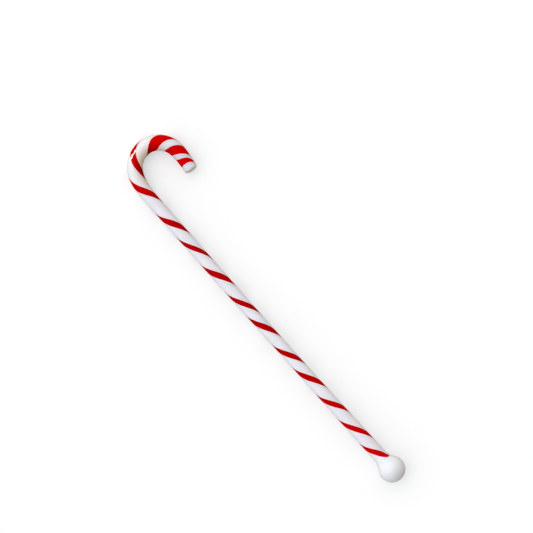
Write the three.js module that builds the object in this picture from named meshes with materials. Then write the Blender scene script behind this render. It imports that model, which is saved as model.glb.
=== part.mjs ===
// Candy cane swizzle stick: a drink stirrer of lampworked opal glass.
// One twisted rod is gathered into a solid ball at one end and bent into a crook at the other.
// Millimetres, +Z up. The shaft runs along X with the ball at +X, and the crook opens towards +Y.
// The stick lies down, on a small flat spot under the ball and another under the crook.

import * as THREE from 'three';

// Ball, and the neck that widens into it
const BALL_RADIUS = 6.15;
const NECK_RADIUS = 3.3;
const NECK_FILLET_RADIUS = 10;

// Rod thickness along the shaft, round the crook and at the tip
const WAIST_RADIUS = 2.87;
const WAIST_DISTANCE = 72;
const SHOULDER_RADIUS = 3.05;
const CROOK_RADIUS = 3.64;
const TIP_RADIUS = 3.1;
const THICKENING_LEAD = 5;

// Centreline, measured along the rod from the centre of the ball
const SHAFT_LENGTH = 165;
const SHAFT_BOW = 0.36;
const LEAD_IN_LENGTH = 19.3;
const BEND_RADIUS = 11.1;
const STEADY_LENGTH = 21.3;
const RUN_OUT_LENGTH = 10.3;
const ARM_LENGTH = 3.7;

// Fire-polished end of the crook: a low dome with rounded edges
const CAP_HEIGHT = 1.4;
const CAP_ROUNDNESS = 2;
const CAP_SQUARENESS = 3;

// Depth of the flat spots that the stick rests on
const REST_DEPTH = 0.12;

// Facets: an odd number of sides puts an edge on top and a flat underneath
const SIDES = 31;
const BALL_RINGS = 18;
const NECK_RINGS = 6;
const SHAFT_RINGS = 24;
const CROOK_RINGS = 48;
const CAP_RINGS = 6;
const TRACE_STEP = 0.1;

// Places along the centreline where one stretch gives way to the next
const LEAD_IN_START = SHAFT_LENGTH;
const STEADY_START = LEAD_IN_START + LEAD_IN_LENGTH;
const RUN_OUT_START = STEADY_START + STEADY_LENGTH;
const ARM_START = RUN_OUT_START + RUN_OUT_LENGTH;
const CAP_START = ARM_START + ARM_LENGTH;
const TIP = CAP_START + CAP_HEIGHT;

// The neck fillet touches the rod at NECK_START and the ball at NECK_END
const FILLET_REACH = BALL_RADIUS + NECK_FILLET_RADIUS;
const NECK_START = Math.sqrt(FILLET_REACH ** 2 - (NECK_RADIUS + NECK_FILLET_RADIUS) ** 2);
const NECK_END = NECK_START * BALL_RADIUS / FILLET_REACH;

// The bow is one shallow arc, so the rod leaves the ball turned by half of what the arc turns
const SHAFT_CURVATURE = 8 * SHAFT_BOW / SHAFT_LENGTH ** 2;
const START_HEADING = Math.PI + SHAFT_CURVATURE * SHAFT_LENGTH / 2;
const BEND_CURVATURE = 1 / BEND_RADIUS;

// The ball is thicker than the rod, so the axis comes down from the ball to the crook
const BALL_REST_HEIGHT = BALL_RADIUS - REST_DEPTH;
const CROOK_REST_HEIGHT = CROOK_RADIUS - REST_DEPTH;
const DESCENT = (BALL_REST_HEIGHT - CROOK_REST_HEIGHT) / (SHAFT_LENGTH + LEAD_IN_LENGTH / 2);

/** Share of the way from start to end, eased at both ends and held outside them. */
function eased(distance, start, end) {
  return THREE.MathUtils.smoothstep(distance, start, end);
}

/** Share of the way from start to end, straight in between and held outside them. */
function ramped(distance, start, end) {
  return THREE.MathUtils.clamp((distance - start) / (end - start), 0, 1);
}

/** Curvature of the centreline in plan: level along the shaft, then up to the bend and off again. */
function curvatureAt(distance) {
  if (distance < 0) {
    return 0;
  }
  if (distance < RUN_OUT_START) {
    const bending = ramped(distance, LEAD_IN_START, STEADY_START);
    return THREE.MathUtils.lerp(SHAFT_CURVATURE, BEND_CURVATURE, bending);
  }
  return BEND_CURVATURE * (1 - ramped(distance, RUN_OUT_START, ARM_START));
}

/** Height of the centreline: an even slope down the shaft that levels out through the lead-in. */
function heightAt(distance) {
  const onLeadIn = LEAD_IN_LENGTH * ramped(distance, LEAD_IN_START, STEADY_START);
  const onShaft = Math.min(distance, LEAD_IN_START);
  const levelled = onLeadIn - onLeadIn ** 2 / (2 * LEAD_IN_LENGTH);
  return BALL_REST_HEIGHT - DESCENT * (onShaft + levelled);
}

/** Slope of the centreline, downwards away from the ball. */
function slopeAt(distance) {
  return -DESCENT * (1 - ramped(distance, LEAD_IN_START, STEADY_START));
}

/** Thickness of the rod itself: a slight waist, a thicker crook and a slimmer arm. */
function rodRadiusAt(distance) {
  const waisted = distance < WAIST_DISTANCE
    ? THREE.MathUtils.lerp(NECK_RADIUS, WAIST_RADIUS, eased(distance, NECK_START, WAIST_DISTANCE))
    : THREE.MathUtils.lerp(WAIST_RADIUS, SHOULDER_RADIUS, eased(distance, WAIST_DISTANCE, LEAD_IN_START));
  const thickened = eased(distance, LEAD_IN_START - THICKENING_LEAD, STEADY_START);
  const slimmed = eased(distance, RUN_OUT_START, CAP_START);
  return waisted
    + (CROOK_RADIUS - SHOULDER_RADIUS) * thickened
    + (TIP_RADIUS - CROOK_RADIUS) * slimmed;
}

/** Radius of the glass anywhere from the pole of the ball to the end of the crook. */
function radiusAt(distance) {
  if (distance < NECK_END) {
    return Math.sqrt(Math.max(BALL_RADIUS ** 2 - distance ** 2, 0));
  }
  if (distance < NECK_START) {
    const rise = Math.sqrt(NECK_FILLET_RADIUS ** 2 - (NECK_START - distance) ** 2);
    return NECK_RADIUS + NECK_FILLET_RADIUS - rise;
  }
  if (distance > CAP_START) {
    const reach = (distance - CAP_START) / CAP_HEIGHT;
    return TIP_RADIUS * Math.max(1 - reach ** CAP_ROUNDNESS, 0) ** (1 / CAP_SQUARENESS);
  }
  return rodRadiusAt(distance);
}

/** Distances of the rings, closest together where the surface turns fastest. */
function ringDistances() {
  const distances = [];
  const ballSweep = Math.acos(-NECK_END / BALL_RADIUS);
  for (let ring = 1; ring <= BALL_RINGS; ring += 1) {
    distances.push(-BALL_RADIUS * Math.cos(ballSweep * ring / BALL_RINGS));
  }
  const neckSweep = Math.asin(NECK_START / FILLET_REACH);
  for (let ring = NECK_RINGS - 1; ring >= 0; ring -= 1) {
    distances.push(NECK_START - NECK_FILLET_RADIUS * Math.sin(neckSweep * ring / NECK_RINGS));
  }
  for (let ring = 1; ring <= SHAFT_RINGS; ring += 1) {
    distances.push(THREE.MathUtils.lerp(NECK_START, LEAD_IN_START, ring / SHAFT_RINGS));
  }
  for (let ring = 1; ring <= CROOK_RINGS; ring += 1) {
    distances.push(THREE.MathUtils.lerp(LEAD_IN_START, CAP_START, ring / CROOK_RINGS));
  }
  for (let ring = 1; ring < CAP_RINGS; ring += 1) {
    distances.push(CAP_START + CAP_HEIGHT * Math.sin(Math.PI / 2 * ring / CAP_RINGS));
  }
  return distances;
}

/** Follows the centreline from the ball's pole and returns its frame at each distance. */
function traceCentreline(distances) {
  const position = new THREE.Vector2(0, 0);
  let heading = START_HEADING;
  let travelled = distances[0];
  return distances.map((distance) => {
    const steps = Math.max(Math.ceil((distance - travelled) / TRACE_STEP), 1);
    const step = (distance - travelled) / steps;
    for (let count = 0; count < steps; count += 1) {
      const turn = curvatureAt(travelled + step / 2) * step;
      position.x += step * Math.cos(heading - turn / 2);
      position.y += step * Math.sin(heading - turn / 2);
      heading -= turn;
      travelled += step;
    }
    return frameAt(distance, position, heading);
  });
}

/** Centre of a ring, with the directions across and up that its vertices are measured in. */
function frameAt(distance, position, heading) {
  const slope = Math.atan(slopeAt(distance));
  const forward = new THREE.Vector3(
    Math.cos(heading) * Math.cos(slope),
    Math.sin(heading) * Math.cos(slope),
    Math.sin(slope),
  );
  const across = new THREE.Vector3(Math.sin(heading), -Math.cos(heading), 0);
  return {
    centre: new THREE.Vector3(position.x, position.y, heightAt(distance)),
    across,
    up: new THREE.Vector3().crossVectors(across, forward),
    forward,
  };
}

/** Adds one ring of vertices, pressed flat where it would dip below the surface it rests on. */
function addRing(vertices, frame, radius) {
  for (let side = 0; side < SIDES; side += 1) {
    const angle = 2 * Math.PI * side / SIDES;
    const vertex = frame.centre.clone()
      .addScaledVector(frame.up, radius * Math.cos(angle))
      .addScaledVector(frame.across, radius * Math.sin(angle));
    vertices.push(vertex.x, vertex.y, Math.max(vertex.z, 0));
  }
}

/** Triangles between two rings that follow one another, facing outwards. */
function joinRings(triangles, firstRing, secondRing) {
  for (let side = 0; side < SIDES; side += 1) {
    const next = (side + 1) % SIDES;
    triangles.push(firstRing + side, firstRing + next, secondRing + side);
    triangles.push(firstRing + next, secondRing + next, secondRing + side);
  }
}

/** Triangles from a ring to the single point that closes it. */
function closeRing(triangles, ring, point, isFirst) {
  for (let side = 0; side < SIDES; side += 1) {
    const next = (side + 1) % SIDES;
    triangles.push(point, ring + (isFirst ? next : side), ring + (isFirst ? side : next));
  }
}

/** The whole stick as one closed surface, swept from the ball's pole to the end of the crook. */
function stickGeometry() {
  const distances = ringDistances();
  const frames = traceCentreline(distances);
  const vertices = [];
  const triangles = [];
  distances.forEach((distance, index) => {
    addRing(vertices, frames[index], radiusAt(distance));
    if (index > 0) {
      joinRings(triangles, (index - 1) * SIDES, index * SIDES);
    }
  });

  const poleReach = -BALL_RADIUS - distances[0];
  const pole = frames[0].centre.clone().addScaledVector(frames[0].forward, poleReach);
  const lastFrame = frames[frames.length - 1];
  const endReach = TIP - distances[distances.length - 1];
  const end = lastFrame.centre.clone().addScaledVector(lastFrame.forward, endReach);
  const poleIndex = vertices.length / 3;
  vertices.push(...pole.toArray(), ...end.toArray());
  closeRing(triangles, 0, poleIndex, true);
  closeRing(triangles, (distances.length - 1) * SIDES, poleIndex + 1, false);

  const geometry = new THREE.BufferGeometry();
  geometry.setAttribute('position', new THREE.Float32BufferAttribute(vertices, 3));
  geometry.setIndex(triangles);
  return geometry;
}

/** Moves a geometry so that the middle of its underside is at the origin. */
function standOnOrigin(geometry) {
  geometry.computeBoundingBox();
  const middle = geometry.boundingBox.getCenter(new THREE.Vector3());
  return geometry.translate(-middle.x, -middle.y, -geometry.boundingBox.min.z);
}

const opalGlass = new THREE.MeshStandardMaterial({ color: '#eceef3', roughness: 0.08, metalness: 0 });
const swizzleStick = new THREE.Mesh(standOnOrigin(stickGeometry()), opalGlass);
swizzleStick.name = 'swizzle_stick';
swizzleStick.geometry.computeVertexNormals();

const part = new THREE.Group();
part.add(swizzleStick);

export default part;
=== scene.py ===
"""Candy cane swizzle stick: the looks of a drink stirrer of lampworked opal glass.

A white rod with two red strands fused into its skin was drawn and twisted, gathered into a solid
ball at one end and bent into a crook at the other. The pieces are made in the same order: each is
modelled along the straight rod, then twisted and bent into place. The stick lies on a pale floor.

Everything is in metres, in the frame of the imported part: the shaft runs along X with the ball at +X,
the crook opens towards +Y, and the floor is at Z = 0. The straight rod has frames of its own: Z is
the distance from the ball's centre, and X and Y are across the rod.
"""

import logging
import math
from collections.abc import Sequence
from dataclasses import dataclass
from enum import Enum
from typing import Any

import bmesh
import bpy
import numpy as np
from mathutils import Matrix, Vector


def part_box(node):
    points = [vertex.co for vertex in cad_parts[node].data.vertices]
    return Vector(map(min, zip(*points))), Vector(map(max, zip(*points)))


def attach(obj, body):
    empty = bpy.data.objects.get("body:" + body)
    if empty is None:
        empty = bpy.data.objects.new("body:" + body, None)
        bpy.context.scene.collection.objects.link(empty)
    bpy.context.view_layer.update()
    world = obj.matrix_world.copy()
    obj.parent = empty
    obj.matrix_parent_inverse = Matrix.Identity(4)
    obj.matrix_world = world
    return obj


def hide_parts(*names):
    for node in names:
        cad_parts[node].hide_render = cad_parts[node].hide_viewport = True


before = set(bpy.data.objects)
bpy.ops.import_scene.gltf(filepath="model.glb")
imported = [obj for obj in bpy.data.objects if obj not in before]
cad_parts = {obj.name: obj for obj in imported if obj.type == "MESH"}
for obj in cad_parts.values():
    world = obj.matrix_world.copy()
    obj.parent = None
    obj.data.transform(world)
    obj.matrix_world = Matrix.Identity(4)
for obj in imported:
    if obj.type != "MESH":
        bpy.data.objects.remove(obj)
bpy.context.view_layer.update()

LOG = logging.getLogger("swizzle_stick")
MM = 0.001
TURN = 2 * math.pi
STRAIGHT = "straight"
JOIN_GAP = 1e-7
OUTLINE_SAMPLES = 1200


class Slot(Enum):
    """Names of the material slots in the record."""

    WHITE = "opal_white_glass"
    RED = "red_glass"


def smooth_through(places: Sequence[float], values: Sequence[float], at: np.ndarray) -> np.ndarray:
    """Reads a smooth curve that passes through the given values and runs on straight outside them.

    Args:
        places: Where the values are, in rising order.
        values: One value for each place.
        at: Where to read the curve.

    Returns:
        The values of the curve there.
    """
    places, values = np.asarray(places), np.asarray(values)
    slopes = np.gradient(values, places)
    index = np.clip(np.searchsorted(places, at) - 1, 0, len(places) - 2)
    span = places[index + 1] - places[index]
    share = np.clip((at - places[index]) / span, 0, 1)
    leaving = (1 + 2 * share) * (1 - share) ** 2 * values[index]
    arriving = share**2 * (3 - 2 * share) * values[index + 1]
    bends = share * (1 - share) ** 2 * slopes[index] - share**2 * (1 - share) * slopes[index + 1]
    beyond = slopes[0] * np.minimum(at - places[0], 0) + slopes[-1] * np.maximum(at - places[-1], 0)
    return leaving + arriving + span * bends + beyond


def eased(values: np.ndarray, start: float, end: float) -> np.ndarray:
    """Share of the way from start to end, eased at both ends and held outside them.

    Args:
        values: Where to read the share.
        start: Where it is nothing.
        end: Where it is one.

    Returns:
        The share at each value.
    """
    share = np.clip((values - start) / (end - start), 0, 1)
    return share**2 * (3 - 2 * share)


def linear(hex_colour: str) -> tuple[float, float, float, float]:
    """Turns an sRGB colour into the linear one of a shader.

    Args:
        hex_colour: The colour, such as "#E4E5EC".

    Returns:
        Its linear red, green and blue, and an alpha of one.
    """
    channels = [int(hex_colour[i : i + 2], 16) / 255 for i in (1, 3, 5)]
    red, green, blue = (c / 12.92 if c <= 0.04045 else ((c + 0.055) / 1.055) ** 2.4 for c in channels)
    return red, green, blue, 1.0


def add_node(
    tree: bpy.types.NodeTree,
    kind: str,
    settings: dict[str, Any] | None = None,
    sockets: dict[str | int, Any] | None = None,
) -> bpy.types.Node:
    """Adds a node, sets its properties, and fills its input sockets or links them.

    Args:
        tree: Node tree that the node goes into.
        kind: Blender's name for the node's type.
        settings: Properties of the node and their values.
        sockets: Input sockets, by name or number, each with a value or with the output that feeds it.

    Returns:
        The new node.
    """
    node = tree.nodes.new(kind)
    for name, value in (settings or {}).items():
        setattr(node, name, value)
    for name, value in (sockets or {}).items():
        if isinstance(value, bpy.types.NodeSocket):
            tree.links.new(value, node.inputs[name])
        else:
            node.inputs[name].default_value = value
    return node


@dataclass
class Centreline:
    """Middle of the rod, followed from the ball along the shaft and round the crook.

    The sizes of the crook began as the answer of a least-squares fit, which was then rounded.
    """

    shaft_length: float = 165 * MM
    shaft_bow: float = 0.36 * MM
    lead_in_length: float = 19.3 * MM
    bend_radius: float = 11.1 * MM
    steady_length: float = 21.3 * MM
    run_out_length: float = 10.3 * MM
    arm_length: float = 3.7 * MM
    cap_height: float = 1.4 * MM
    ball_height: float = 6.03 * MM
    crook_height: float = 3.52 * MM
    step: float = 0.05 * MM
    behind: float = 8 * MM

    def __post_init__(self) -> None:
        """Traces the line once, so that a place on it can be read off at any distance."""
        self.bend_start = self.shaft_length
        self.steady_start = self.bend_start + self.lead_in_length
        self.run_out_start = self.steady_start + self.steady_length
        self.arm_start = self.run_out_start + self.run_out_length
        self.cap_start = self.arm_start + self.arm_length
        self.tip = self.cap_start + self.cap_height
        self.bow_curvature = 8 * self.shaft_bow / self.shaft_length**2
        self._along = np.arange(-self.behind, self.tip + self.step, self.step)
        turning = self._curvatures(self._along[:-1] + self.step / 2) * self.step
        start = math.pi + self.bow_curvature * self.shaft_length / 2
        self._headings = start - np.concatenate([[0.0], np.cumsum(turning)])
        middles = self._headings[:-1] - turning / 2
        self._x, self._y = (
            np.concatenate([[0.0], np.cumsum(part)]) * self.step
            for part in (np.cos(middles), np.sin(middles))
        )
        self.shift(-np.interp(0.0, self._along, self._x), -np.interp(0.0, self._along, self._y))

    def _curvatures(self, along: np.ndarray) -> np.ndarray:
        """Curvature in plan along the line.

        Args:
            along: Distances from the ball's centre.

        Returns:
            The curvature at each.
        """
        into_bend = np.clip((along - self.bend_start) / self.lead_in_length, 0, 1)
        out_of_bend = np.clip((along - self.run_out_start) / self.run_out_length, 0, 1)
        bent = self.bow_curvature + (1 / self.bend_radius - self.bow_curvature) * into_bend
        bent = np.where(along < self.run_out_start, bent, (1 - out_of_bend) / self.bend_radius)
        return np.where(along < 0, 0.0, bent)

    def shift(self, across: float, upwards: float) -> None:
        """Moves the whole line in plan."""
        self._x, self._y = self._x + across, self._y + upwards

    def bend_centre(self) -> tuple[float, float, float]:
        """Finds the centre that the crook is bent round.

        Returns:
            The centre in plan, at the floor.
        """
        centres, across, _ = self.frames(np.array([self.steady_start + self.steady_length / 2]))
        x, y, _ = centres[0] + across[0] * self.bend_radius
        return x, y, 0.0

    def frames(self, distances: np.ndarray) -> tuple[np.ndarray, np.ndarray, np.ndarray]:
        """Frames of the rod at distances from the ball's centre.

        Args:
            distances: How far along the centreline.

        Returns:
            For each distance the centre, the direction across the rod towards the inside of the bend,
            and the direction up out of it.
        """
        headings, x, y = (
            np.interp(distances, self._along, traced) for traced in (self._headings, self._x, self._y)
        )
        descent = (self.ball_height - self.crook_height) / (self.shaft_length + self.lead_in_length / 2)
        on_lead_in = np.clip(distances - self.bend_start, 0, self.lead_in_length)
        levelled = on_lead_in - on_lead_in**2 / (2 * self.lead_in_length)
        heights = self.ball_height - descent * (np.minimum(distances, self.bend_start) + levelled)
        slopes = np.arctan(-descent * (1 - on_lead_in / self.lead_in_length))
        flat = np.zeros_like(headings)
        across = np.stack([np.sin(headings), -np.cos(headings), flat], -1)
        forward = np.stack(
            [np.cos(headings) * np.cos(slopes), np.sin(headings) * np.cos(slopes), np.sin(slopes)], -1
        )
        return np.stack([x, y, heights], -1), across, np.cross(across, forward)


@dataclass(frozen=True)
class Pass:
    """One place on a red strand.

    It holds the turns made since the strand first crossed the top, and the degrees of the rod it covers.
    """

    distance: float
    turns: float
    width: float


@dataclass(frozen=True)
class Winding:
    """How a strand winds round the rod, as a smooth run through its passes."""

    passes: tuple[Pass, ...]

    def _through(self, values: Sequence[float], distances: np.ndarray) -> np.ndarray:
        """Smooth run through one value for each pass."""
        return smooth_through([p.distance for p in self.passes], values, distances)

    def turns(self, distances: np.ndarray) -> np.ndarray:
        """Turns made at each distance."""
        return self._through([p.turns for p in self.passes], distances)

    def widths(self, distances: np.ndarray) -> np.ndarray:
        """Angle of the rod covered at each distance, in radians."""
        return np.radians(self._through([p.width for p in self.passes], distances))


# Both windings are the answer of a least-squares fit, rounded and in places changed
FIRST_WINDING = Winding(
    (
        Pass(5.3 * MM, -0.143, 24),
        Pass(7.5 * MM, -0.083, 44),
        Pass(10.4 * MM, 0, 47),
        Pass(14.1 * MM, 0.125, 48),
        Pass(40.3 * MM, 1, 49),
        Pass(70.4 * MM, 2, 51.5),
        Pass(101.7 * MM, 3, 47.5),
        Pass(135.3 * MM, 4, 43.5),
        Pass(170.2 * MM, 5, 57.5),
        Pass(184.8 * MM, 5.5, 69),
        Pass(199.8 * MM, 6, 90),
        Pass(210.3 * MM, 6.5, 104),
        Pass(217.5 * MM, 7, 96),
        Pass(220.0 * MM, 7.3, 46),
    )
)
SECOND_WINDING = Winding(
    (
        Pass(5.0 * MM, -0.59, 38),
        Pass(24.9 * MM, 0, 46.5),
        Pass(56.0 * MM, 1, 55),
        Pass(87.6 * MM, 2, 56),
        Pass(118.9 * MM, 3, 57.5),
        Pass(150.6 * MM, 4, 56.5),
        Pass(169.5 * MM, 4.6, 50),
        Pass(185.1 * MM, 5, 52),
        Pass(199.4 * MM, 5.5, 88),
        Pass(210.2 * MM, 6, 97),
        Pass(217.6 * MM, 6.5, 85),
        Pass(220.1 * MM, 6.8, 38),
    )
)


@dataclass
class GlassBody:
    """The glass as a whole: how thick it is, and how the straight rod was twisted and bent.

    The radii of the crook and the tip began as the answer of the fit that gave the crook's other sizes.
    """

    line: Centreline
    twist: Winding
    ball_radius: float = 6.15 * MM
    neck_radius: float = 3.3 * MM
    neck_fillet_radius: float = 10 * MM
    waist_radius: float = 2.87 * MM
    waist_distance: float = 72 * MM
    shoulder_radius: float = 3.05 * MM
    crook_radius: float = 3.64 * MM
    tip_radius: float = 3.1 * MM
    thickening_lead: float = 5 * MM
    cap_roundness: float = 2
    cap_squareness: float = 3

    def __post_init__(self) -> None:
        """Finds where the neck's fillet touches the ball and the rod."""
        reach = self.ball_radius + self.neck_fillet_radius
        self.neck_start = math.sqrt(reach**2 - (self.neck_radius + self.neck_fillet_radius) ** 2)
        self.neck_end = self.neck_start * self.ball_radius / reach

    def radii(self, distances: np.ndarray) -> np.ndarray:
        """Radii of the glass along the rod.

        Args:
            distances: Distances from the ball's centre, less than nothing on its far side.

        Returns:
            The radius at each.
        """
        line = self.line
        ball = np.sqrt(np.maximum(self.ball_radius**2 - distances**2, 0))
        short_of_rod = np.clip(self.neck_start - distances, 0, self.neck_fillet_radius)
        hollow = np.sqrt(self.neck_fillet_radius**2 - short_of_rod**2)
        neck = self.neck_radius + self.neck_fillet_radius - hollow
        rod = (
            self.neck_radius
            + (self.waist_radius - self.neck_radius) * eased(distances, self.neck_start, self.waist_distance)
            + (self.shoulder_radius - self.waist_radius)
            * eased(distances, self.waist_distance, line.bend_start)
            + (self.crook_radius - self.shoulder_radius)
            * eased(distances, line.bend_start - self.thickening_lead, line.steady_start)
            + (self.tip_radius - self.crook_radius) * eased(distances, line.run_out_start, line.cap_start)
        )
        over_cap = np.clip((distances - line.cap_start) / line.cap_height, 0, 1)
        cap = self.tip_radius * (1 - over_cap**self.cap_roundness) ** (1 / self.cap_squareness)
        where = [distances < self.neck_end, distances < self.neck_start, distances < line.cap_start]
        return np.select(where, [ball, neck, rod], cap)

    def skin(self, distances: np.ndarray, angles: np.ndarray, lifts: np.ndarray) -> np.ndarray:
        """Points of the straight rod on its skin, or a little off it.

        Args:
            distances: How far along the rod.
            angles: Angles round the bent rod, from its top towards the inside of the bend.
            lifts: Heights above the skin; less than nothing is inside the glass.

        Returns:
            The points, in the frame of the straight rod.
        """
        nudge = 0.02 * MM
        flares = (self.radii(distances + nudge) - self.radii(distances - nudge)) / (2 * nudge)
        leans = np.arctan(-flares)
        reaches = self.radii(distances) + lifts * np.cos(leans)
        straight_angles = angles + TURN * self.twist.turns(distances)
        x, y = reaches * np.sin(straight_angles), reaches * np.cos(straight_angles)
        return np.stack([x, y, distances + lifts * np.sin(leans)], -1)

    def twist_and_bend(self, straight: np.ndarray) -> np.ndarray:
        """Twists and bends points of the straight rod.

        Args:
            straight: Points in the frame of the straight rod.

        Returns:
            The points in the frame of the part.
        """
        x, y, distances = straight.T
        twisted = TURN * self.twist.turns(distances)
        centres, across, up = self.line.frames(distances)
        side = x * np.cos(twisted) - y * np.sin(twisted)
        height = y * np.cos(twisted) + x * np.sin(twisted)
        return centres + across * side[:, None] + up * height[:, None]

    def centre_in(self, low: Vector, high: Vector) -> None:
        """Moves the stick so that, seen from above, it fills a box evenly.

        Args:
            low: Lowest corner of the box.
            high: Highest corner of the box.
        """
        distances = np.linspace(-self.ball_radius, self.line.tip, OUTLINE_SAMPLES)
        centres, across, _ = self.line.frames(distances)
        reach = across * self.radii(distances)[:, None]
        outline = np.concatenate([centres - reach, centres + reach])
        middle = (outline.min(0) + outline.max(0)) / 2
        self.line.shift((low.x + high.x) / 2 - middle[0], (low.y + high.y) / 2 - middle[1])


def place_vertices(bm: bmesh.types.BMesh, places: np.ndarray) -> None:
    """Puts the vertices of a mesh at the given places, in their own order."""
    for vert, place in zip(bm.verts, places):
        vert.co = place


def vertex_places(bm: bmesh.types.BMesh) -> np.ndarray:
    """Places of the vertices of a mesh, in their own order."""
    return np.array([vert.co[:] for vert in bm.verts])


def rest_on_floor(bm: bmesh.types.BMesh) -> None:
    """Cuts a mesh off level at the floor and closes it there with a small flat, sharp round its edge.

    Args:
        bm: The mesh, in the frame of the part.
    """
    everything = list(bm.verts) + list(bm.edges) + list(bm.faces)
    cut = bmesh.ops.bisect_plane(
        bm, geom=everything, dist=JOIN_GAP, plane_co=(0, 0, 0), plane_no=(0, 0, 1), clear_inner=True
    )["geom_cut"]
    rims = [edge for edge in cut if isinstance(edge, bmesh.types.BMEdge)]
    if rims:
        bmesh.ops.edgeloop_fill(bm, edges=rims)
        for edge in rims:
            edge.smooth = False


def make_piece(
    bm: bmesh.types.BMesh, name: str, body: GlassBody, material: bpy.types.Material
) -> bpy.types.Object:
    """Twists and bends a mesh of the straight rod, rests it on the floor and makes it a piece of the stick.

    Args:
        bm: The mesh, in the frame of the straight rod; it is freed.
        name: Name of the piece.
        body: The glass that it is part of.
        material: Its finish.

    Returns:
        The new object, at the origin.
    """
    straight = vertex_places(bm)
    layer = bm.verts.layers.float_vector.new(STRAIGHT)
    for vert in bm.verts:
        vert[layer] = vert.co
    place_vertices(bm, body.twist_and_bend(straight))
    rest_on_floor(bm)
    bmesh.ops.recalc_face_normals(bm, faces=bm.faces)
    for face in bm.faces:
        face.smooth = True
    mesh = bpy.data.meshes.new(name)
    bm.to_mesh(mesh)
    bm.free()
    mesh.materials.append(material)
    piece = bpy.data.objects.new(name, mesh)
    bpy.context.scene.collection.objects.link(piece)
    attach(piece, "root")
    LOG.info("%s: %d faces, %s", name, len(mesh.polygons), material.name)
    return piece


def multiplied(
    tree: bpy.types.NodeTree, first: bpy.types.NodeSocket, second: bpy.types.NodeSocket
) -> bpy.types.NodeSocket:
    """Multiplies two colours of a material.

    Args:
        tree: The material's nodes.
        first: One colour.
        second: The other colour.

    Returns:
        Their product.
    """
    node = add_node(
        tree,
        "ShaderNodeMix",
        {"data_type": "RGBA", "blend_type": "MULTIPLY"},
        {"Factor": 1.0, "A": first, "B": second},
    )
    return node.outputs["Result"]


@dataclass(frozen=True)
class DrawnThreads:
    """Faint threads that were drawn out with the rod: fine across it and long along it.

    Real threads are taken to be finer than these, which are as coarse as they need to be to show when
    the whole stick is in view.
    """

    width: float
    length: float
    pale: str
    dark: str
    detail: float = 2.0
    coarseness: float = 0.5
    dark_below: float = 0.35
    pale_above: float = 0.65

    def add(self, tree: bpy.types.NodeTree) -> tuple[bpy.types.NodeSocket, bpy.types.NodeSocket]:
        """Adds the threads to a material.

        Args:
            tree: The material's nodes.

        Returns:
            The tint of the threads, and their strength from nothing to one.
        """
        straight = add_node(tree, "ShaderNodeAttribute", {"attribute_name": STRAIGHT})
        drawn_out = add_node(
            tree,
            "ShaderNodeMapping",
            {"vector_type": "TEXTURE"},
            {"Vector": straight.outputs["Vector"], "Scale": (self.width, self.width, self.length)},
        )
        threads = add_node(
            tree,
            "ShaderNodeTexNoise",
            {"noise_dimensions": "3D"},
            {
                "Vector": drawn_out.outputs["Vector"],
                "Scale": 1.0,
                "Detail": self.detail,
                "Roughness": self.coarseness,
            },
        )
        tint = add_node(tree, "ShaderNodeValToRGB", None, {"Fac": threads.outputs["Fac"]})
        ends = ((self.dark_below, self.dark), (self.pale_above, self.pale))
        for stop, (position, colour) in zip(tint.color_ramp.elements, ends):
            stop.position, stop.color = position, linear(colour)
        return tint.outputs["Color"], threads.outputs["Fac"]


def ramp_along(tree: bpy.types.NodeTree, stops: Sequence[tuple[float, str]]) -> bpy.types.NodeSocket:
    """Colours a material by the distance along the rod.

    Args:
        tree: The material's nodes.
        stops: Distances from the ball's centre in rising order, and the colour at each.

    Returns:
        The colour.
    """
    anywhere = 0.5
    reach = stops[-1][0]
    straight = add_node(tree, "ShaderNodeAttribute", {"attribute_name": STRAIGHT})
    along = add_node(tree, "ShaderNodeSeparateXYZ", None, {"Vector": straight.outputs["Vector"]})
    share = add_node(tree, "ShaderNodeMath", {"operation": "DIVIDE"}, {0: along.outputs["Z"], 1: reach})
    ramp = add_node(tree, "ShaderNodeValToRGB", None, {"Fac": share.outputs["Value"]})
    elements = ramp.color_ramp.elements
    while len(elements) < len(stops):
        elements.new(anywhere)
    for element, (distance, colour) in zip(elements, stops):
        element.position, element.color = max(distance / reach, 0), linear(colour)
    return ramp.outputs["Color"]


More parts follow.
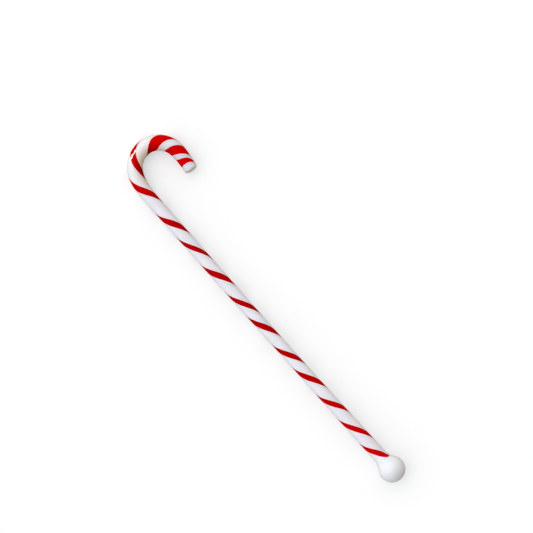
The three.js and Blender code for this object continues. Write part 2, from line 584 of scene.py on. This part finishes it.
@dataclass(frozen=True)
class InsideBendShade:
    """Painted shade on the inside of the bend: a change of colour that stands in for the dim, warm shade
    there.

    Across the rod it fades out the given share of a radius past the middle.
    """

    body: GlassBody
    fade: float = 9 * MM
    short_of_run_out: float = 3.7 * MM
    past_middle: float = 1 / 3

    def _inside(self, tree: bpy.types.NodeTree) -> bpy.types.NodeSocket:
        """Adds how far a place is round to the inside of the bend.

        Args:
            tree: The material's nodes.

        Returns:
            The share, from nothing on the outside to one on the inside.
        """
        body, line = self.body, self.body.line
        place = add_node(tree, "ShaderNodeTexCoord").outputs["Object"]
        in_plan = add_node(tree, "ShaderNodeVectorMath", {"operation": "MULTIPLY"}, {0: place, 1: (1, 1, 0)})
        reach = add_node(
            tree,
            "ShaderNodeVectorMath",
            {"operation": "DISTANCE"},
            {0: in_plan.outputs["Vector"], 1: line.bend_centre()},
        )
        inside = add_node(
            tree,
            "ShaderNodeMapRange",
            {"interpolation_type": "SMOOTHSTEP"},
            {
                "Value": reach.outputs["Value"],
                "From Min": line.bend_radius - body.crook_radius,
                "From Max": line.bend_radius + body.crook_radius * self.past_middle,
                "To Min": 1.0,
                "To Max": 0.0,
            },
        )
        return inside.outputs["Result"]

    def tint(self, tree: bpy.types.NodeTree, outside_colour: str, shade_colour: str, past_bend: str) -> bpy.types.NodeSocket:
        """Adds the colour of the glass, with painted shade on the inside of the bend, faded in and out along
        it.

        Args:
            tree: The material's nodes.
            outside_colour: Colour outside the bend.
            shade_colour: Painted shade colour on its inside.
            past_bend: Colour on the inside past the bend.

        Returns:
            The colour.
        """
        line = self.body.line
        bend_end = line.run_out_start - self.short_of_run_out
        stops = (
            (0.0, outside_colour),
            (line.bend_start, outside_colour),
            (line.bend_start + self.fade, shade_colour),
            (bend_end - self.fade, shade_colour),
            (bend_end, past_bend),
        )
        bend_shaded = add_node(
            tree,
            "ShaderNodeMix",
            {"data_type": "RGBA"},
            {"Factor": self._inside(tree), "A": linear(outside_colour), "B": ramp_along(tree, stops)},
        )
        return bend_shaded.outputs["Result"]


@dataclass(frozen=True)
class OpalWhiteGlass:
    """Opal white soft glass, drawn in the flame and fire-polished.

    To the eye it is milky and glossy: light soaks a little way in and softens the shade, the highlights
    stay sharp, and faint threads run with the twist. The gathered ball is the plainest white. The drawn
    rod is a touch pinker. The inside of the bend and the rounded tip are painted a warm beige as shade.
    """

    body: GlassBody
    name: str = "Opal white glass, drawn and fire-polished"
    white: str = "#F2F5FA"
    gathered: str = "#FFFFFF"
    drawn: str = "#FFFCFF"
    # Painted shade: the warm beige inside the bend, and its fainter run-on past the bend
    bend_shade_cream: str = "#F4E6D3"
    faint_bend_shade: str = "#F2F1F0"
    bent: str = "#FFFDF9"
    # Pinker and a little darker over the arm, towards the tip
    arm_pink: str = "#F7EFF5"
    arm_pink_length: float = 10 * MM
    tip_white: str = "#F9F5F6"
    # Painted shade: the beige on the rounded end of the tip, which turns away from the light
    tip_shade_cream: str = "#EBDCC4"
    tip_length: float = 1.2 * MM
    threads: DrawnThreads = DrawnThreads(0.7 * MM, 30 * MM, "#FFFFFF", "#F7F7F8")
    roughness: float = 0.05
    ior: float = 1.5
    specular: float = 0.4
    soaking: float = 0.5
    soak_depth: float = 0.8 * MM
    soak_colours: tuple[float, float, float] = (1.4, 1.0, 0.8)
    ripple: float = 0.01 * MM
    ripple_strength: float = 0.3

    def _colour(self, tree: bpy.types.NodeTree) -> bpy.types.NodeSocket:
        """Adds the colour of the glass: painted shade in warm beige inside the bend and at the tip, and
        plainest at the ball.

        Args:
            tree: The material's nodes.

        Returns:
            The colour.
        """
        line = self.body.line
        # The warm beige on the inside of the bend is painted shade
        bend_shaded = InsideBendShade(self.body).tint(tree, self.white, self.bend_shade_cream, self.faint_bend_shade)
        along = (
            (self.body.neck_end, self.gathered),
            (self.body.neck_start, self.drawn),
            (line.bend_start, self.drawn),
            (line.steady_start, self.bent),
            (line.steady_start + line.steady_length / 2, self.bent),
            (line.run_out_start, self.drawn),
            (line.tip - self.arm_pink_length, self.arm_pink),
            (line.tip - self.arm_pink_length / 2, self.arm_pink),
            (line.tip - self.tip_length, self.tip_white),
            # Painted shade on the rounded end of the tip
            (line.tip, self.tip_shade_cream),
        )
        return multiplied(tree, bend_shaded, ramp_along(tree, along))

    def make(self) -> bpy.types.Material:
        """Builds the milky glass that light soaks into.

        Returns:
            The material.
        """
        material = bpy.data.materials.new(self.name)
        material.use_nodes = True
        tree = material.node_tree
        tree.nodes.clear()
        tint, threads = self.threads.add(tree)
        bump = add_node(
            tree,
            "ShaderNodeBump",
            None,
            {"Strength": self.ripple_strength, "Distance": self.ripple, "Height": threads},
        )
        glass = add_node(
            tree,
            "ShaderNodeBsdfPrincipled",
            {"subsurface_method": "RANDOM_WALK"},
            {
                "Base Color": multiplied(tree, self._colour(tree), tint),
                "Roughness": self.roughness,
                "IOR": self.ior,
                "Specular IOR Level": self.specular,
                "Subsurface Weight": self.soaking,
                "Subsurface Radius": self.soak_colours,
                "Subsurface Scale": self.soak_depth,
                "Normal": bump.outputs["Normal"],
            },
        )
        add_node(tree, "ShaderNodeOutputMaterial", None, {"Surface": glass.outputs["BSDF"]})
        return material


@dataclass(frozen=True)
class RedGlass:
    """Opaque red glass, fused flush into the white rod and fire-polished with it.

    To the eye it is a solid red, smooth and glossy but with weaker reflections than the white. It is
    deeper along the thin shaft, and brighter by the ball and over the thick crook. Inside the bend it is
    darkened by painted shade.
    """

    body: GlassBody
    name: str = "Opaque red glass, fused and fire-polished"
    colours: tuple[tuple[float, str], ...] = (
        (0 * MM, "#DC0000"),
        (30 * MM, "#D40000"),
        (70 * MM, "#BE0000"),
        (150 * MM, "#C20000"),
        (172 * MM, "#D40000"),
        (190 * MM, "#DD0000"),
        (205 * MM, "#E00000"),
        (222 * MM, "#E20000"),
    )
    plain: str = "#FFFFFF"
    # Multiplier for the painted shade on the inside of the bend
    bend_shade_red: str = "#D1D1D1"
    threads: DrawnThreads = DrawnThreads(0.5 * MM, 25 * MM, "#FFFFFF", "#F2F2F2")
    roughness: float = 0.04
    ior: float = 1.5
    specular: float = 0.12

    def make(self) -> bpy.types.Material:
        """Builds the solid red, with its faint threads.

        Returns:
            The material.
        """
        material = bpy.data.materials.new(self.name)
        material.use_nodes = True
        tree = material.node_tree
        tree.nodes.clear()
        tint, _ = self.threads.add(tree)
        # Painted shade darkens the red on the inside of the bend
        bend_shaded = InsideBendShade(self.body).tint(tree, self.plain, self.bend_shade_red, self.plain)
        colour = multiplied(tree, multiplied(tree, ramp_along(tree, self.colours), bend_shaded), tint)
        glass = add_node(
            tree,
            "ShaderNodeBsdfPrincipled",
            None,
            {
                "Base Color": colour,
                "Roughness": self.roughness,
                "IOR": self.ior,
                "Specular IOR Level": self.specular,
            },
        )
        add_node(tree, "ShaderNodeOutputMaterial", None, {"Surface": glass.outputs["BSDF"]})
        return material


@dataclass(frozen=True)
class Lean:
    """How far the strands lean at one distance from the ball's centre.

    Over the top they lean towards the ball, and inside the bend towards the tip.
    """

    distance: float
    over_top: float
    inside: float


# These too are the answer of that fit, rounded and in places changed
LEANS = (
    Lean(0 * MM, 0 * MM, 0 * MM),
    Lean(150 * MM, 0 * MM, 0.25 * MM),
    Lean(184 * MM, 0.35 * MM, 0.25 * MM),
    Lean(198.5 * MM, 1.3 * MM, 0.95 * MM),
    Lean(209 * MM, 1.0 * MM, 0.55 * MM),
    Lean(217 * MM, 1.7 * MM, 0.6 * MM),
)


@dataclass
class RedStrand:
    """A red strand that winds round the rod, flush with its skin."""

    name: str
    body: GlassBody
    winding: Winding
    leans: tuple[Lean, ...] = LEANS
    proud: float = 0.012 * MM
    dip: float = 0.008 * MM
    depth: float = 0.3 * MM
    fade: float = 0.5 * MM
    sink: float = 1.5
    short_of_tip: float = 0.45 * MM
    step: float = 0.3 * MM
    samples: int = 2000
    cells: int = 32

    def _distances(self) -> np.ndarray:
        """Spaces the sections evenly along the strand itself.

        Returns:
            The distance of each section from the ball's centre.
        """
        along = np.linspace(self.winding.passes[0].distance, self.winding.passes[-1].distance, self.samples)
        round_rod = np.diff(self.winding.turns(along)) * TURN * self.body.radii(along[1:])
        travelled = np.concatenate([[0.0], np.cumsum(np.hypot(np.diff(along), round_rod))])
        sections = math.ceil(travelled[-1] / self.step)
        return np.interp(np.linspace(0, travelled[-1], sections), travelled, along)

    def _lay(self, distances: np.ndarray, sides: np.ndarray) -> np.ndarray:
        """Lays the outer face of the strand on the rod: a lens that bulges a hair above the skin.

        Args:
            distances: Distance of each point along the rod.
            sides: Where each point lies across the strand, from -1 to 1.

        Returns:
            The points, in the frame of the straight rod.
        """
        bulge = self.proud + self.dip
        # The lens shows only where it stands above the skin, so it is a little wider than what shows
        shown = math.sqrt(1 - (self.dip / bulge) ** 2)
        angles = -TURN * self.winding.turns(distances)
        angles = angles + self.winding.widths(distances) / 2 / shown * np.sin(sides * math.pi / 2)
        first, last = self.winding.passes[0].distance, self.winding.passes[-1].distance
        inwards = np.clip(np.minimum(distances - first, last - distances) / self.fade, 0, 1)
        lifts = bulge * np.cos(sides * math.pi / 2) - self.dip - self.sink * bulge * (1 - inwards) ** 2
        places = [lean.distance for lean in self.leans]
        over_top = np.interp(distances, places, [lean.over_top for lean in self.leans])
        inside = np.interp(distances, places, [lean.inside for lean in self.leans])
        leaning = distances + inside * np.sin(angles) - over_top * np.cos(angles)
        return self.body.skin(np.minimum(leaning, self.body.line.tip - self.short_of_tip), angles, lifts)

    def build(self, material: bpy.types.Material) -> bpy.types.Object:
        """Builds the strand and dresses it.

        Args:
            material: Its finish.

        Returns:
            The piece.
        """
        sections = self._distances()
        bm = bmesh.new()
        bmesh.ops.create_grid(bm, x_segments=len(sections) - 1, y_segments=self.cells, size=1)
        along, sides, _ = vertex_places(bm).T
        distances = np.interp(along, np.linspace(-1, 1, len(sections)), sections)
        place_vertices(bm, self._lay(distances, sides))
        bmesh.ops.recalc_face_normals(bm, faces=bm.faces)
        bmesh.ops.solidify(bm, geom=list(bm.faces), thickness=self.depth)
        return make_piece(bm, self.name, self.body, material)


@dataclass
class WhiteRod:
    """The white glass: ball, neck, shaft, crook and tip as one drawn piece."""

    body: GlassBody
    segments: int = 96
    ball_rings: int = 44
    neck_rings: int = 20
    shaft_rings: int = 190
    crook_rings: int = 160
    cap_rings: int = 16

    def _distances(self) -> np.ndarray:
        """Spaces the rings, closest where the surface turns fastest.

        Returns:
            The distance of each ring from the ball's centre.
        """
        body, line = self.body, self.body.line
        over_ball = np.linspace(0, math.acos(-body.neck_end / body.ball_radius), self.ball_rings + 1)
        over_neck = math.asin((body.neck_start - body.neck_end) / body.neck_fillet_radius)
        over_neck = np.linspace(over_neck, 0, self.neck_rings + 1)[1:]
        over_cap = np.linspace(0, math.pi / 2, self.cap_rings + 1)[1:]
        return np.concatenate(
            [
                -body.ball_radius * np.cos(over_ball),
                body.neck_start - body.neck_fillet_radius * np.sin(over_neck),
                np.linspace(body.neck_start, line.bend_start, self.shaft_rings + 1)[1:],
                np.linspace(line.bend_start, line.cap_start, self.crook_rings + 1)[1:],
                line.cap_start + line.cap_height * np.sin(over_cap),
            ]
        )

    def build(self, material: bpy.types.Material) -> bpy.types.Object:
        """Turns the straight rod from its outline, and dresses it.

        Args:
            material: Its finish.

        Returns:
            The piece.
        """
        bm = bmesh.new()
        distances = self._distances()
        radii = self.body.radii(distances)
        outline = [bm.verts.new((0, radius, at)) for radius, at in zip(radii, distances)]
        edges = [bm.edges.new(pair) for pair in zip(outline, outline[1:])]
        bmesh.ops.spin(
            bm,
            geom=outline + edges,
            cent=(0, 0, 0),
            axis=(0, 0, 1),
            angle=TURN,
            steps=self.segments,
            use_merge=True,
        )
        bmesh.ops.remove_doubles(bm, verts=bm.verts, dist=JOIN_GAP)
        piece = make_piece(bm, "white_rod", self.body, material)
        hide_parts("swizzle_stick")
        return piece


def direction(azimuth: float, elevation: float) -> tuple[float, float, float]:
    """Finds the direction of a place in the room.

    Args:
        azimuth: Degrees round from +X towards +Y.
        elevation: Degrees above the floor.

    Returns:
        The direction, one unit long.
    """
    azimuth, elevation = math.radians(azimuth), math.radians(elevation)
    level = math.cos(elevation)
    return level * math.cos(azimuth), level * math.sin(azimuth), math.sin(elevation)


@dataclass(frozen=True)
class SoftPanel:
    """A wide soft light in the room: its place in degrees, its colour and its brightness in the middle."""

    azimuth: float
    elevation: float
    colour: str
    strength: float


# Places listed; colours and strengths are the answer of a least-squares fit, rounded or nudged
PANELS = (
    SoftPanel(0, 90, "#FFE0CC", 0.17),
    SoftPanel(90, 50, "#FFF8E6", 0.29),
    SoftPanel(180, 50, "#FAF6FF", 0.49),
    SoftPanel(225, 50, "#F6F6FF", 0.50),
    SoftPanel(270, 50, "#F8F0FF", 0.40),
    SoftPanel(90, 15, "#F0FFF8", 0.45),
    SoftPanel(135, 15, "#FBF8FF", 0.58),
    SoftPanel(180, 15, "#F8FFF2", 0.57),
    SoftPanel(225, 15, "#ECFFF8", 0.55),
    SoftPanel(270, 15, "#E0F0FF", 0.60),
    SoftPanel(315, 15, "#FFF2A0", 0.20),
)


@dataclass
class Studio:
    """Pale floor, soft lights, one small lamp for a glint, and a camera that looks straight down."""

    panels: tuple[SoftPanel, ...] = PANELS
    panel_tightness: float = 4.0
    floor_size: float = 6.0
    floor_gap: float = 0.02 * MM
    floor_colour: str = "#D7CBC7"
    floor_bounce: str = "#CBBCAE"
    floor_glow: float = 0.49
    glow_colour: str = "#E5F9FF"
    view_width: float = 244.1 * MM
    view_centre: tuple[float, float] = (-15.9 * MM, 8.3 * MM)
    view_height: float = 5 * MM
    roll: float = math.radians(48.27)
    lens: float = 150.0
    sensor: float = 36.0
    clip_start: float = 0.01
    clip_end: float = 10.0
    glint_along: float = 187.4 * MM
    glint_round: float = math.radians(-34)
    glint_distance: float = 80 * MM
    glint_low_end: tuple[float, float] = (-144, 7)
    glint_high_end: tuple[float, float] = (-172, 34)
    glint_width: float = 16 * MM
    glint_radiance: float = 200.0
    black_level: float = 0.02

    def _floor_material(self) -> bpy.types.Material:
        """Makes the card: lit up to white where it is seen, it throws back only some of its light.

        Its own colour is warm and its glow is cool, balanced so that the shade on it keeps close to grey.

        Returns:
            The material.
        """
        material = bpy.data.materials.new("White card, overexposed")
        material.use_nodes = True
        tree = material.node_tree
        tree.nodes.clear()
        seen = add_node(tree, "ShaderNodeBsdfDiffuse", None, {"Color": linear(self.floor_colour)})
        glow = add_node(
            tree,
            "ShaderNodeEmission",
            None,
            {"Color": linear(self.glow_colour), "Strength": self.floor_glow},
        )
        bright = add_node(
            tree, "ShaderNodeAddShader", None, {0: seen.outputs["BSDF"], 1: glow.outputs["Emission"]}
        )
        bounce = add_node(tree, "ShaderNodeBsdfDiffuse", None, {"Color": linear(self.floor_bounce)})
        in_view = add_node(tree, "ShaderNodeLightPath").outputs["Is Camera Ray"]
        card = add_node(
            tree,
            "ShaderNodeMixShader",
            None,
            {"Fac": in_view, 1: bounce.outputs["BSDF"], 2: bright.outputs["Shader"]},
        )
        add_node(tree, "ShaderNodeOutputMaterial", None, {"Surface": card.outputs["Shader"]})
        return material

    def lay_floor(self) -> None:
        """Lays the pale floor, a hair below the stick."""
        bm = bmesh.new()
        bmesh.ops.create_grid(bm, x_segments=1, y_segments=1, size=self.floor_size / 2)
        bmesh.ops.translate(bm, verts=bm.verts, vec=(0, 0, -self.floor_gap))
        mesh = bpy.data.meshes.new("floor")
        bm.to_mesh(mesh)
        bm.free()
        mesh.materials.append(self._floor_material())
        floor = bpy.data.objects.new("floor", mesh)
        bpy.context.scene.collection.objects.link(floor)

    def fill_room(self) -> None:
        """Fills the room with the light of the soft panels."""
        world = bpy.data.worlds.new("Studio")
        world.use_nodes = True
        bpy.context.scene.world = world
        tree = world.node_tree
        tree.nodes.clear()
        towards = add_node(tree, "ShaderNodeTexCoord").outputs["Generated"]
        light: bpy.types.NodeSocket | None = None
        for panel in self.panels:
            facing = add_node(
                tree,
                "ShaderNodeVectorMath",
                {"operation": "DOT_PRODUCT"},
                {0: towards, 1: direction(panel.azimuth, panel.elevation)},
            )
            fall = add_node(
                tree,
                "ShaderNodeMath",
                {"operation": "MULTIPLY_ADD"},
                {0: facing.outputs["Value"], 1: self.panel_tightness, 2: -self.panel_tightness},
            )
            share = add_node(tree, "ShaderNodeMath", {"operation": "EXPONENT"}, {0: fall.outputs["Value"]})
            colour = Vector(linear(panel.colour)[:3]) * panel.strength
            glow = add_node(
                tree,
                "ShaderNodeVectorMath",
                {"operation": "SCALE"},
                {0: colour, "Scale": share.outputs["Value"]},
            )
            both = glow
            if light is not None:
                both = add_node(
                    tree, "ShaderNodeVectorMath", {"operation": "ADD"}, {0: light, 1: glow.outputs["Vector"]}
                )
            light = both.outputs["Vector"]
        sky = add_node(tree, "ShaderNodeBackground", None, {"Color": light})
        add_node(tree, "ShaderNodeOutputWorld", None, {"Surface": sky.outputs["Background"]})

    def hang_glint(self, body: GlassBody) -> None:
        """Hangs a slim bright lamp close to the crook, which is seen only mirrored in the glass.

        Args:
            body: The glass that it shines on.
        """
        spot = body.skin(np.array([self.glint_along]), np.array([self.glint_round]), np.array([0.0]))
        target = Vector(body.twist_and_bend(spot)[0])
        low_end, high_end = (
            target + self.glint_distance * Vector(direction(*end))
            for end in (self.glint_low_end, self.glint_high_end)
        )
        middle = (low_end + high_end) / 2
        backwards = (middle - target).normalized()
        along = (high_end - low_end).normalized()
        sideways = backwards.cross(along).normalized()
        along = sideways.cross(backwards)
        data = bpy.data.lights.new("glint", "AREA")
        data.shape = "RECTANGLE"
        data.size, data.size_y = (high_end - low_end).length, self.glint_width
        data.energy = self.glint_radiance * math.pi * data.size * data.size_y
        lamp = bpy.data.objects.new("glint", data)
        turned = Matrix((along, sideways, backwards)).transposed().to_4x4()
        lamp.matrix_world = Matrix.Translation(middle) @ turned
        lamp.visible_camera = False
        lamp.visible_diffuse = False
        bpy.context.scene.collection.objects.link(lamp)

    def place_camera(self) -> None:
        """Puts the camera straight above the stick."""
        data = bpy.data.cameras.new("camera")
        data.lens = self.lens
        data.sensor_width = self.sensor
        data.clip_start = self.clip_start
        data.clip_end = self.clip_end
        camera = bpy.data.objects.new("camera", data)
        height = self.view_height + self.view_width * self.lens / self.sensor
        camera.location = (*self.view_centre, height)
        camera.rotation_euler = (0, 0, self.roll)
        bpy.context.scene.collection.objects.link(camera)
        bpy.context.scene.camera = camera

    def set_up(self, body: GlassBody) -> None:
        """Sets up the whole studio round the stick.

        Args:
            body: The glass that the glint falls on.
        """
        self.lay_floor()
        self.fill_room()
        self.hang_glint(body)
        self.place_camera()
        view = bpy.context.scene.view_settings
        view.view_transform = "Standard"
        view.use_curve_mapping = True
        view.curve_mapping.black_level = (self.black_level,) * 3
        view.curve_mapping.update()


def main() -> None:
    """Builds the stick and the studio round it."""
    logging.basicConfig(level=logging.INFO, format="%(message)s")
    body = GlassBody(Centreline(), FIRST_WINDING)
    body.centre_in(*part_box("swizzle_stick"))
    red = RedGlass(body).make()
    WhiteRod(body).build(OpalWhiteGlass(body).make())
    RedStrand("red_strand_1", body, FIRST_WINDING).build(red)
    RedStrand("red_strand_2", body, SECOND_WINDING).build(red)
    Studio().set_up(body)


if __name__ == "__main__":
    main()
